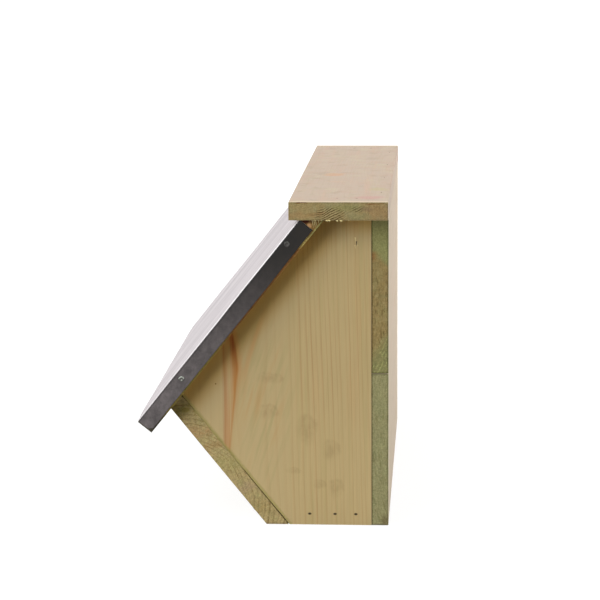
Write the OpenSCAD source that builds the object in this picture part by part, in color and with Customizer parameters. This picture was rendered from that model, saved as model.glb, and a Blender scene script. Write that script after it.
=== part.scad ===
// Wide nest box for swifts: boards of planed pine, a sloping roof under a folded
// zinc sheet, and a lower front that hangs on two butt hinges for cleaning.
// The front faces -Y and the back lies against the wall. Outlines of the side view
// are given as [d, z]: d runs forward from the back face, z runs up from the base.

/* [Top board] */
// How far the top board stands out past each side panel
top_overhang = 17; // [14.5:0.5:40]
// Depth of the top board from the wall to its front edge
top_depth = 84; // [80:1:100]
// Thickness of the top board
top_t = 15.5; // [12:0.5:20]

/* [Body] */
// Width over the two side panels
body_w = 390; // [360:1:400]
// Height from the base to the underside of the top board
body_h = 270.5; // [260:0.5:290]
// Thickness of the side panels
side_t = 15; // [12:0.5:20]
// Thickness of the back boards
back_t = 14.7; // [12:0.1:20]
// Height of the joint between the two back boards
back_joint_z = 135; // [110:1:150]
// Gap left between the two back boards
back_joint_gap = 0.3; // [0.1:0.1:1]
// Thickness of the floor
floor_t = 15.5; // [12:0.5:18]
// Height of the floor's underside above the base
floor_lift = 2; // [1:0.5:5]
// Clearance between the floor and the pieces at its ends and front
floor_gap = 0.2; // [0.1:0.1:1]

/* [Roof] */
// Slope of the roof, in degrees from level
roof_slope = 51.1; // [49:0.1:53]
// Distance from the back face to the roof's underside, below the top board
roof_start_d = 54; // [50:0.5:60]
// Length of the eaves: how far the roof board runs on past the flap, along the slope
eaves_len = 24.3; // [22:0.1:40]
// How far the roof board stands out past each side panel
roof_overhang = 13.5; // [6:0.5:25]
// Thickness of the roof board
roof_t = 15; // [12:0.5:18]
// Thickness of the zinc sheet
sheet_t = 0.6; // [0.4:0.1:1]
// Depth of the flanges folded down over the ends of the roof board
flange_h = 14.2; // [10:0.1:15]
// Outer radius of the folds
fold_r = 1; // [0.8:0.1:1.5]
// Clearance between the flanges and the ends of the board
sheet_fit = 0.1; // [0.1:0.1:0.5]
// Clearance between the sheet and the face of the board
sheet_bed = 0.05; // [0.05:0.05:0.5]
// Bare wood left at the roof's lower end, below the sheet
sheet_short = 1.2; // [0.5:0.1:4]
// Size of the corner clipped off the lower end of each flange
flange_clip = 3; // [1:0.5:6]

/* [Flap] */
// Slope of the flap, in degrees from level
flap_slope = 51.4; // [50:0.1:53]
// Distance from the back face to the flap's outer face, at the base
flap_foot_d = 106.3; // [102:0.1:110]
// Thickness of the flap
flap_t = 14.8; // [12:0.1:18]
// Gap between the flap and the side panels, at the base
flap_gap_low = 1; // [0.5:0.1:3]
// Gap between the flap and the side panels, under the roof
flap_gap_high = 0.3; // [0.2:0.1:2]
// Gap between the flap's upper end and the roof
flap_top_gap = 0.3; // [0.2:0.1:1]
// Depth of the taper that lets the flap's upper end swing clear of the side panels
ease_depth = 1.1; // [1:0.1:2]
// Length of that taper down the inner face
ease_len = 6; // [5:0.5:12]

/* [Entrance] */
// Width of the entrance hole
hole_w = 65; // [55:1:80]
// Height of the entrance hole along the slope
hole_h = 30; // [26:1:40]
// Distance of the hole's centre from the left end of the box
hole_inset = 95; // [75:1:140]
// Height of the hole's centre above the base, along the slope
hole_up = 66; // [50:1:75]

/* [Hinges] */
// Length of each hinge
hinge_len = 50; // [40:1:70]
// Distance of each hinge's middle from the end of the box
hinge_inset = 70; // [50:1:100]
// Width of a hinge leaf from the pin's centre to its edge
leaf_w = 18; // [15:0.5:20]
// Thickness of a hinge leaf
leaf_t = 1; // [0.8:0.1:1.2]
// Number of knuckles on each hinge
knuckles = 5; // [3:2:7]
// Outer radius of the knuckles
knuckle_r = 2.1; // [2:0.1:2.4]
// Clearance round the knuckles and between them
knuckle_gap = 0.3; // [0.2:0.1:0.4]
// Radius of the hinge pins
pin_r = 1; // [0.8:0.05:1]
// Running clearance between a pin and its knuckles
pin_gap = 0.05; // [0.02:0.01:0.1]
// Radius of the heads of the hinge pins
pin_head_r = 1.6; // [1.4:0.1:2]
// Thickness of the heads of the hinge pins
pin_head_t = 0.8; // [0.5:0.1:1.5]

/* [Screws] */
// Radius of the hinge screws
hinge_screw_r = 1.4; // [1:0.1:1.6]
// Length of the hinge screws
hinge_screw_len = 12; // [8:1:12]
// Radius of the countersunk heads of the hinge screws
hinge_screw_head_r = 2.7; // [2.2:0.1:3]
// Distance of a hinge screw from the pin's centre
hinge_screw_in = 11; // [9:0.5:12]
// Distance between the two screws of a leaf
hinge_screw_pitch = 30; // [20:1:34]
// Radius of the screws that lock the flap
lock_screw_r = 1.75; // [1.5:0.05:2]
// Radius of the round heads of the lock screws
lock_head_r = 3.4; // [3:0.1:4]
// Height of those heads
lock_head_h = 2.2; // [1.5:0.1:3]
// Length of a lock screw that enters the side panel
lock_bite = 10; // [6:1:12]
// Height of the lock screws above the base, along the slope
lock_up = 16; // [14:1:30]

/* [Nails] */
// Width of the flat brads
brad_w = 1.9; // [1.2:0.1:2.4]
// Thickness of the flat brads
brad_t = 0.9; // [0.8:0.1:1.2]
// Length of the flat brads
brad_len = 38; // [30:1:38]
// Radius of the nails that hold the sheet
nail_r = 1; // [0.8:0.1:1.2]
// Radius of the heads of those nails
nail_head_r = 2.2; // [1.8:0.1:3]
// Thickness of the heads of those nails
nail_head_t = 0.9; // [0.5:0.1:1.2]
// Length of those nails below the head
nail_len = 20; // [14:1:25]
// Distance of the upper nails below the fold
upper_nail_down = 4.2; // [4:0.1:8]
// Distance of the lower nails below the fold
lower_nail_down = 6.6; // [4:0.1:8]
// Clearance round nails and screws in their holes
nail_fit = 0.05; // [0.02:0.01:0.1]

/* [Wall holes] */
// Radius of the two screw holes through the back
wall_hole_r = 3; // [2:0.1:4]
// Distance of each hole from the end of the box
wall_hole_inset = 45; // [40:1:90]
// Distance of the holes below the top board
wall_hole_down = 30.5; // [20:0.5:45]

/* [Hidden] */
$fn = 48;
// Distances of the floor brads from the back face
floor_brad_d = [28.3, 46.4, 68.5];
// Distances of the top board's brads in each side panel from the back face
top_side_brad_d = [27.3, 44];
// Distance of the outer brads in the top board's back edge from the ends of the box
top_back_brad_inset = 45;
// Distance of the outer brads through the back into the floor from the ends of the box
floor_back_brad_inset = 60;
// Number of brads in each of those two rows
row_brads = 4;
// Distances of the outer back brads from the foot and the upper edge of each back board
back_brad_low = 24;
back_brad_high = 39;
// Distances of the outer roof brads from the top board and from the flap
roof_brad_high = 44;
roof_brad_low = 25;
// Number of brads in each row down a side panel
side_brads = 3;
// Distances of the sheet's nails from its upper and its lower end
sheet_nail_high = 23;
sheet_nail_low = 53;
// Clearance round a lock screw at the inner end and at the mouth of its hole in the side panel
lock_hole_gap = 0.5;
lock_mouth_gap = 2.2;
// How far a cutting shape runs past the face it cuts
past = 1;

top_w = body_w + 2 * top_overhang;
roof_w = body_w + 2 * roof_overhang;
hinge_x = body_w / 2 - hinge_inset;
knuckle_w = hinge_len / knuckles;
pin_bore_r = pin_r + pin_gap;
pin_off = knuckle_r + knuckle_gap;
screw_head_h = hinge_screw_head_r - hinge_screw_r;
side_mid_x = (body_w - side_t) / 2;
floor_mid_z = floor_lift + floor_t / 2;
sheet_w = roof_w + 2 * (sheet_fit + sheet_t);
sheet_face = roof_t + sheet_bed + sheet_t;
both_slopes = flap_slope + roof_slope;

// The roof's underside is the line d * sin(slope) + z * cos(slope) = roof_line.
roof_line = roof_start_d * sin(roof_slope) + body_h * cos(roof_slope);
// A point at a distance inside the flap's outer face and up along it
function flap_point(inside, up) = [
    flap_foot_d - inside * sin(flap_slope) + up * cos(flap_slope),
    inside * cos(flap_slope) + up * sin(flap_slope)
];
// How far up the flap the roof's underside is met
function flap_reach(inside) =
    (roof_line - flap_foot_d * sin(roof_slope) - inside * cos(both_slopes)) / sin(both_slopes);
// Where a layer inside the flap's outer face meets the base
function flap_base_d(inside) = flap_foot_d - inside / sin(flap_slope);

corner = flap_point(0, flap_reach(0));
corner_down = (corner[0] - roof_start_d) / cos(roof_slope);
pin_from_corner = pin_off / tan((180 - both_slopes) / 2);
pin_up = flap_reach(0) - pin_from_corner;
pin_down = corner_down + pin_from_corner;
roof_len = corner_down + eaves_len;
sheet_start = sheet_face / tan(roof_slope) + sheet_t / 2;
sheet_len = roof_len - sheet_short - sheet_start;
tip_d = roof_start_d + roof_len * cos(roof_slope) + roof_t * sin(roof_slope);
sheet_tip_d = tip_d + (sheet_bed + sheet_t) * sin(roof_slope) - sheet_short * cos(roof_slope);
depth = max(tip_d, sheet_tip_d);

// Places of a number of brads, evenly spaced from the first to the last
function row(first, last, count) =
    [for (place = [0 : count - 1]) first + place * (last - first) / (count - 1)];

// Draws a side outline [d, z] as a board of the given width across the box
module across(width, middle = 0) {
    translate([middle, depth / 2, 0])
        rotate([90, 0, -90])
            linear_extrude(width, center = true) children();
}

// Axes on the flap: X across, Y up its outer face from the base, Z out of that face
module on_flap() {
    translate([0, depth / 2 - flap_foot_d, 0])
        rotate([180 - flap_slope, 0, 0]) children();
}

// Axes on the roof's underside: X across, Y up the slope, Z out of the upper face
module on_roof() {
    translate([0, depth / 2 - roof_start_d, body_h])
        rotate([roof_slope, 0, 0]) children();
}

// Fasteners point down -Z from the face at z = 0
module brad(fit = 0) {
    run = fit > 0 ? past : 0;
    translate([-brad_t / 2 - fit, -brad_w / 2 - fit, -brad_len - fit])
        cube([brad_t + 2 * fit, brad_w + 2 * fit, brad_len + fit + run]);
}

module sheet_nail(fit = 0) {
    translate([0, 0, -nail_len - fit]) cylinder(r = nail_r + fit, h = nail_len + fit + nail_head_t / 2);
    if (fit == 0) cylinder(r1 = nail_head_r, r2 = nail_head_r - nail_head_t / 2, h = nail_head_t);
}

module countersunk_screw(fit = 0) {
    translate([0, 0, -hinge_screw_len - fit])
        cylinder(r = hinge_screw_r + fit, h = hinge_screw_len + fit - screw_head_h / 2);
    translate([0, 0, -screw_head_h])
        cylinder(r1 = hinge_screw_r + fit, r2 = hinge_screw_head_r + fit, h = screw_head_h);
    if (fit > 0) cylinder(r = hinge_screw_head_r + fit, h = past);
}

module round_head_screw(length) {
    dome_r = (lock_head_r * lock_head_r + lock_head_h * lock_head_h) / (2 * lock_head_h);
    translate([0, 0, -length]) cylinder(r = lock_screw_r, h = length + lock_head_h / 2);
    intersection() {
        translate([0, 0, lock_head_h - dome_r]) sphere(r = dome_r);
        cylinder(r = dome_r + past, h = lock_head_h + past);
    }
}

// Places of the fasteners, used by the pieces they hold as well
module at_floor_brads(side) {
    for (d = floor_brad_d)
        translate([side * body_w / 2, depth / 2 - d, floor_mid_z])
            rotate([0, side * 90, 0]) children();
}

module at_floor_back_brads() {
    reach = body_w / 2 - floor_back_brad_inset;
    for (x = row(-reach, reach, row_brads))
        translate([x, depth / 2, floor_mid_z]) rotate([-90, 0, 0]) rotate([0, 0, 90]) children();
}

module at_back_brads(foot, top, sides = [-1, 1]) {
    for (side = sides, z = row(foot + back_brad_low, top - back_brad_high, side_brads))
        translate([side * side_mid_x, depth / 2, z]) rotate([-90, 0, 0]) children();
}

module at_upper_back_brads(sides = [-1, 1]) {
    at_back_brads(back_joint_z, body_h, sides) children();
}

module at_lower_back_brads(sides = [-1, 1]) {
    at_back_brads(0, back_joint_z, sides) children();
}

module at_top_side_brads(sides = [-1, 1]) {
    for (side = sides, d = top_side_brad_d)
        translate([side * side_mid_x, depth / 2 - d, body_h + top_t]) children();
}

module at_top_back_brads() {
    reach = body_w / 2 - top_back_brad_inset;
    for (x = row(-reach, reach, row_brads))
        translate([x, depth / 2 - back_t / 2, body_h + top_t]) rotate([0, 0, 90]) children();
}

module at_roof_brads(sides = [-1, 1]) {
    on_roof()
        for (side = sides, down = row(roof_brad_high, corner_down - roof_brad_low, side_brads))
            translate([side * side_mid_x, -down, roof_t]) children();
}

module at_sheet_nails(side) {
    on_roof()
        for (nail = [[sheet_nail_high, upper_nail_down], [sheet_len - sheet_nail_low, lower_nail_down]])
            translate([side * sheet_w / 2, -sheet_start - nail[0], sheet_face - nail[1]])
                rotate([0, side * 90, 0]) children();
}

module at_leaf_screws(side) {
    for (end = [-1, 1])
        translate([side * hinge_x + end * hinge_screw_pitch / 2, 0, 0]) children();
}

module at_hinge_roof_screws(sides = [-1, 1]) {
    on_roof()
        for (side = sides)
            translate([0, -pin_down - hinge_screw_in, -leaf_t])
                rotate([180, 0, 0]) at_leaf_screws(side) children();
}

module at_hinge_flap_screws(sides = [-1, 1]) {
    on_flap()
        for (side = sides)
            translate([0, pin_up - hinge_screw_in, leaf_t]) at_leaf_screws(side) children();
}

module at_lock_screws(sides = [-1, 1]) {
    on_flap()
        for (side = sides) translate([side * side_mid_x, lock_up, 0]) children();
}

module top_board() {
    color("tan")
        difference() {
            translate([-top_w / 2, depth / 2 - top_depth, body_h]) cube([top_w, top_depth, top_t]);
            at_top_side_brads() brad(nail_fit);
            at_top_back_brads() brad(nail_fit);
        }
}

module back_board(foot, height) {
    translate([-body_w / 2, depth / 2 - back_t, foot]) cube([body_w, back_t, height]);
}

module upper_back_board() {
    foot = back_joint_z + back_joint_gap;
    color("burlywood")
        difference() {
            back_board(foot, body_h - foot);
            at_upper_back_brads() brad(nail_fit);
            at_top_back_brads() brad(nail_fit);
            for (side = [-1, 1])
                translate([
                    side * (body_w / 2 - wall_hole_inset),
                    depth / 2 + past,
                    body_h - wall_hole_down
                ])
                    rotate([90, 0, 0]) cylinder(r = wall_hole_r, h = back_t + 2 * past);
        }
}

module lower_back_board() {
    color("darkkhaki")
        difference() {
            back_board(0, back_joint_z);
            at_lower_back_brads() brad(nail_fit);
            at_floor_back_brads() brad(nail_fit);
        }
}

// The panel's front edge follows the flap's inner face, its upper edge the roof
module side_panel(side) {
    low = flap_t + flap_gap_low;
    high = flap_t + flap_gap_high;
    difference() {
        across(side_t, side * side_mid_x)
            polygon([
                [back_t, 0],
                [flap_base_d(low), 0],
                flap_point(high, flap_reach(high)),
                [roof_start_d, body_h],
                [back_t, body_h]
            ]);
        at_floor_brads(side) brad(nail_fit);
        at_lower_back_brads([side]) brad(nail_fit);
        at_upper_back_brads([side]) brad(nail_fit);
        at_top_side_brads([side]) brad(nail_fit);
        at_roof_brads([side]) brad(nail_fit);
        // A flared mouth, in which the lock screw swings out with the flap
        at_lock_screws([side])
            translate([0, 0, -flap_t - lock_bite - past])
                cylinder(
                    r1 = lock_screw_r + lock_hole_gap,
                    r2 = lock_screw_r + lock_mouth_gap,
                    h = lock_bite + 2 * past
                );
    }
}

module left_side_panel() {
    color("wheat") side_panel(-1);
}

module right_side_panel() {
    color("wheat") side_panel(1);
}

module floor_board() {
    low = floor_lift;
    high = floor_lift + floor_t;
    front = flap_base_d(flap_t) - floor_gap / sin(flap_slope);
    color("tan")
        difference() {
            across(body_w - 2 * side_t - 2 * floor_gap)
                polygon([
                    [back_t, low],
                    [front + low / tan(flap_slope), low],
                    [front + high / tan(flap_slope), high],
                    [back_t, high]
                ]);
            for (side = [-1, 1]) at_floor_brads(side) brad(nail_fit);
            at_floor_back_brads() brad(nail_fit);
        }
}

// The upper end of the roof board is cut level, to meet the top board
module roof_board() {
    color("tan")
        difference() {
            across(roof_w)
                polygon([
                    [roof_start_d, body_h],
                    [roof_start_d + roof_t / sin(roof_slope), body_h],
                    [tip_d, body_h + roof_t * cos(roof_slope) - roof_len * sin(roof_slope)],
                    [tip_d - roof_t * sin(roof_slope), body_h - roof_len * sin(roof_slope)]
                ]);
            at_roof_brads() brad(nail_fit);
            at_hinge_roof_screws() countersunk_screw(nail_fit);
            for (side = [-1, 1]) at_sheet_nails(side) sheet_nail(nail_fit);
        }
}

// Section of the sheet: a flat face with a flange turned down at each end
module sheet_section() {
    difference() {
        union() {
            translate([-sheet_w / 2, -flange_h]) square([sheet_w, flange_h - fold_r]);
            translate([-sheet_w / 2 + fold_r, -flange_h]) square([sheet_w - 2 * fold_r, flange_h]);
            for (side = [-1, 1])
                translate([side * (sheet_w / 2 - fold_r), -fold_r]) circle(r = fold_r);
        }
        translate([sheet_t - sheet_w / 2, -flange_h - past])
            square([sheet_w - 2 * sheet_t, flange_h + past - sheet_t]);
    }
}

module roof_sheet() {
    color("lightsteelblue")
        difference() {
            on_roof()
                translate([0, -sheet_start, sheet_face])
                    rotate([90, 0, 0]) linear_extrude(sheet_len) sheet_section();
            on_roof()
                translate([-sheet_w, -sheet_start - sheet_len, sheet_face - flange_h])
                    rotate([45, 0, 0])
                        translate([0, -flange_clip / sqrt(2), -flange_clip / sqrt(2)])
                            cube([2 * sheet_w, flange_clip * sqrt(2), flange_clip * sqrt(2)]);
            for (side = [-1, 1]) at_sheet_nails(side) sheet_nail(nail_fit);
        }
}

// The entrance is an upright slot with round ends, cut square through the flap
module entrance() {
    reach = (hole_w - hole_h) / 2;
    on_flap()
        translate([hole_inset - body_w / 2, hole_up, -flap_t - past]) {
            for (end = [-1, 1])
                translate([end * reach, 0, 0]) cylinder(r = hole_h / 2, h = flap_t + 2 * past);
            translate([-reach, -hole_h / 2, 0]) cube([2 * reach, hole_h, flap_t + 2 * past]);
        }
}

module cleaning_flap() {
    eased = flap_t - ease_depth;
    color("tan")
        difference() {
            across(body_w)
                polygon([
                    [flap_foot_d, 0],
                    [flap_base_d(flap_t), 0],
                    flap_point(flap_t, flap_reach(flap_t) - ease_len),
                    flap_point(eased, flap_reach(eased) - flap_top_gap),
                    flap_point(0, flap_reach(0) - flap_top_gap)
                ]);
            entrance();
            at_hinge_flap_screws() countersunk_screw(nail_fit);
            at_lock_screws()
                translate([0, 0, -flap_t - past])
                    cylinder(r = lock_screw_r + nail_fit, h = flap_t + 2 * past);
        }
}

// A leaf on the face z = 0, with its pin along X above y = 0 and its plate towards -Y.
// Its knuckles take the places first, first + 2 and so on.
module hinge_leaf(first) {
    plate_start = knuckle_r + knuckle_gap;
    difference() {
        union() {
            translate([-hinge_len / 2, -leaf_w, 0]) cube([hinge_len, leaf_w - plate_start, leaf_t]);
            for (place = [first : 2 : knuckles - 1]) {
                start = place * knuckle_w - hinge_len / 2 + (place > 0 ? knuckle_gap / 2 : 0);
                end = (place + 1) * knuckle_w - hinge_len / 2
                    - (place < knuckles - 1 ? knuckle_gap / 2 : 0);
                translate([start, 0, pin_off])
                    rotate([0, 90, 0]) cylinder(r = knuckle_r, h = end - start);
                translate([start, -plate_start - past, 0])
                    cube([end - start, plate_start + past, leaf_t]);
            }
        }
        translate([-hinge_len / 2 - past, 0, pin_off])
            rotate([0, 90, 0]) cylinder(r = pin_bore_r, h = hinge_len + 2 * past);
        for (end = [-1, 1])
            translate([end * hinge_screw_pitch / 2, -hinge_screw_in, leaf_t])
                countersunk_screw(nail_fit);
    }
}

module roof_leaf(side) {
    on_roof()
        translate([side * hinge_x, -pin_down, 0]) mirror([0, 0, 1]) hinge_leaf(0);
}

module flap_leaf(side) {
    on_flap() translate([side * hinge_x, pin_up, 0]) hinge_leaf(1);
}

// A pin riveted over at both ends of its hinge
module hinge_pin(side) {
    on_flap()
        translate([side * hinge_x, pin_up, pin_off])
            rotate([0, 90, 0]) {
                cylinder(r = pin_r, h = hinge_len + pin_head_t, center = true);
                for (end = [-1, 1])
                    translate([0, 0, end * (hinge_len + pin_head_t) / 2])
                        cylinder(r = pin_head_r, h = pin_head_t, center = true);
            }
}

module left_hinge_roof_leaf() {
    color("silver") roof_leaf(-1);
}

module left_hinge_flap_leaf() {
    color("silver") flap_leaf(-1);
}

module left_hinge_pin() {
    color("gray") hinge_pin(-1);
}

module right_hinge_roof_leaf() {
    color("silver") roof_leaf(1);
}

module right_hinge_flap_leaf() {
    color("silver") flap_leaf(1);
}

module right_hinge_pin() {
    color("gray") hinge_pin(1);
}

module hinge_roof_screws() {
    color("gray") at_hinge_roof_screws() countersunk_screw();
}

module hinge_flap_screws() {
    color("gray") at_hinge_flap_screws() countersunk_screw();
}

module flap_lock_screws() {
    color("gray") at_lock_screws() round_head_screw(flap_t + lock_bite);
}

module left_floor_brads() {
    color("dimgray") at_floor_brads(-1) brad();
}

module right_floor_brads() {
    color("dimgray") at_floor_brads(1) brad();
}

module floor_back_brads() {
    color("dimgray") at_floor_back_brads() brad();
}

module upper_back_brads() {
    color("dimgray") at_upper_back_brads() brad();
}

module lower_back_brads() {
    color("dimgray") at_lower_back_brads() brad();
}

module top_board_brads() {
    color("dimgray") {
        at_top_side_brads() brad();
        at_top_back_brads() brad();
    }
}

module roof_board_brads() {
    color("dimgray") at_roof_brads() brad();
}

module left_sheet_nails() {
    color("slategray") at_sheet_nails(-1) sheet_nail();
}

module right_sheet_nails() {
    color("slategray") at_sheet_nails(1) sheet_nail();
}

top_board();
upper_back_board();
lower_back_board();
left_side_panel();
right_side_panel();
floor_board();
roof_board();
roof_sheet();
cleaning_flap();
left_hinge_roof_leaf();
left_hinge_flap_leaf();
left_hinge_pin();
right_hinge_roof_leaf();
right_hinge_flap_leaf();
right_hinge_pin();
hinge_roof_screws();
hinge_flap_screws();
flap_lock_screws();
left_floor_brads();
right_floor_brads();
floor_back_brads();
upper_back_brads();
lower_back_brads();
top_board_brads();
roof_board_brads();
left_sheet_nails();
right_sheet_nails();
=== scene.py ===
# A wide nest box for swifts: treated pine boards, a folded zinc roof and a hinged flap.
# Everything is in metres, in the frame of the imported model: the front faces -Y.
import math
import random
from dataclasses import dataclass

import bmesh
import bpy
from mathutils import Matrix, Vector, noise


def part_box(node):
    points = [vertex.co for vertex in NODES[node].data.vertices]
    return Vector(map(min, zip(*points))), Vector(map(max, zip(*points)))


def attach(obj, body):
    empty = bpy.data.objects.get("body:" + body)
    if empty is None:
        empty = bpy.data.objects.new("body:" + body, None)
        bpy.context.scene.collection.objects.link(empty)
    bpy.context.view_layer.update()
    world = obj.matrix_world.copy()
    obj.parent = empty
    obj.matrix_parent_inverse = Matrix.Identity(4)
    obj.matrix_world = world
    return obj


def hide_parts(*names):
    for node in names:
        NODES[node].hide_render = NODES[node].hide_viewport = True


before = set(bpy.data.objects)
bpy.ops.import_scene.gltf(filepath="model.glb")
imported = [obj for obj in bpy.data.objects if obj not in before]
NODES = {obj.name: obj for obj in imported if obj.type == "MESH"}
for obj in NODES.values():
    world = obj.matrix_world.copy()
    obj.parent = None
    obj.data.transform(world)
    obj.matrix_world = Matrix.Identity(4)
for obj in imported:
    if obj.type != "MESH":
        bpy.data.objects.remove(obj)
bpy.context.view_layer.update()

SCENE = bpy.context.scene
MM = 0.001


# Sizes

ROOF_SLOPE = math.radians(51.1)
FLAP_SLOPE = math.radians(51.4)
BACK_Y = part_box("top_board")[1].y
SIDE_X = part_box("right_side_panel")[1].x
TOP_BOARD_END_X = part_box("top_board")[1].x
ROOF_BOARD_END_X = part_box("roof_board")[1].x
EAVES_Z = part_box("top_board")[0].z
PANEL_FOOT_D = 0.0861
PANEL_TIP = min((v.co for v in NODES["right_side_panel"].data.vertices), key=lambda point: point.y)
PANEL_SLOPE = math.atan2(PANEL_TIP.z, BACK_Y - PANEL_TIP.y - PANEL_FOOT_D)
BACK_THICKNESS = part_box("upper_back_board")[1].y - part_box("upper_back_board")[0].y
FLAP_MIDDLE_D = PANEL_FOOT_D + 0.0096
ROOF_START_D = 0.054
ROOF_LINE = ROOF_START_D * math.sin(ROOF_SLOPE) + EAVES_Z * math.cos(ROOF_SLOPE)
SHEET_END_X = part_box("roof_sheet")[1].x
SHEET_THICKNESS = 0.6 * MM
SHEET_FOLD_RADIUS = 1 * MM
SHEET_CORNER_CLIP = 3 * MM
ARRIS = 0.3 * MM

# The directions up the roof and out of its upper face
UP_ROOF = Vector((0, math.cos(ROOF_SLOPE), math.sin(ROOF_SLOPE)))
OUT_OF_ROOF = Vector((0, -math.sin(ROOF_SLOPE), math.cos(ROOF_SLOPE)))


def at(x, d, z):
    """A point from its distance d in front of the wall, with x and z as they are, all in millimetres."""
    return Vector((x * MM, BACK_Y - d * MM, z * MM))


def on_roof(node):
    """The points of a node as (x, up the slope, out of the slope)."""
    return [(v.co.x, v.co.dot(UP_ROOF), v.co.dot(OUT_OF_ROOF)) for v in NODES[node].data.vertices]


def extent(points):
    """The lowest and the highest value of each coordinate."""
    return [min(values) for values in zip(*points)], [max(values) for values in zip(*points)]


SHEET_LOW, SHEET_HIGH = extent(on_roof("roof_sheet"))
SHEET_FACE = SHEET_HIGH[2]
MIDDLE_UP = (SHEET_LOW[1] + SHEET_HIGH[1]) / 2


def sheet_nail_places():
    """(x of the head's seat, up the slope, out of the slope) of each nail in the flanges."""
    places = []
    for node, side in (("left_sheet_nails", -1), ("right_sheet_nails", 1)):
        points = on_roof(node)
        for nail in ([p for p in points if p[1] < MIDDLE_UP], [p for p in points if p[1] > MIDDLE_UP]):
            low, high = extent(nail)
            places.append((side * SHEET_END_X, (low[1] + high[1]) / 2, (low[2] + high[2]) / 2))
    return places


SHEET_NAILS = sheet_nail_places()


# Colours

def srgb(red, green, blue):
    """A linear colour from one in the usual 0 to 255 scale."""
    def linear(value):
        value /= 255
        return value / 12.92 if value <= 0.04045 else ((value + 0.055) / 1.055) ** 2.4
    return (linear(red), linear(green), linear(blue), 1)


class Graph:
    """Short ways to add nodes to a tree. Most return the new node's result."""

    def __init__(self, tree):
        self.tree = tree
        tree.nodes.clear()

    def node(self, kind, *values, settings=None, **inputs):
        """A new node: its first inputs are fed in their order, others by name."""
        made = self.tree.nodes.new(kind)
        for key, value in (settings or {}).items():
            setattr(made, key, value)
        for socket, value in zip(made.inputs, values):
            self.feed(socket, value)
        for key, value in inputs.items():
            self.feed(made.inputs[key.replace("_", " ")], value)
        return made

    def feed(self, socket, value):
        if isinstance(value, bpy.types.NodeSocket):
            self.tree.links.new(value, socket)
        else:
            socket.default_value = value

    def math(self, operation, *values):
        """One math node, or a chain of them for more than two values."""
        made = self.node("ShaderNodeMath", *values[:2], settings={"operation": operation}).outputs[0]
        return self.math(operation, made, *values[2:]) if values[2:] else made

    def add(self, *values):
        return self.math("ADD", *values)

    def times(self, *values):
        return self.math("MULTIPLY", *values)

    def less(self, a, b):
        return self.math("SUBTRACT", a, b)

    def hypot(self, a, b):
        return self.math("SQRT", self.add(self.times(a, a), self.times(b, b)))

    def vector(self, operation, *values, result="Vector", **inputs):
        made = self.node("ShaderNodeVectorMath", *values, settings={"operation": operation}, **inputs)
        return made.outputs[result]

    def split(self, vector):
        return self.node("ShaderNodeSeparateXYZ", vector).outputs

    def remap(self, value, low, high, to_low=0, to_high=1, smooth=True):
        settings = {"interpolation_type": "SMOOTHSTEP" if smooth else "LINEAR"}
        made = self.node("ShaderNodeMapRange", value, low, high, to_low, to_high, settings=settings)
        return made.outputs["Result"]


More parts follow.
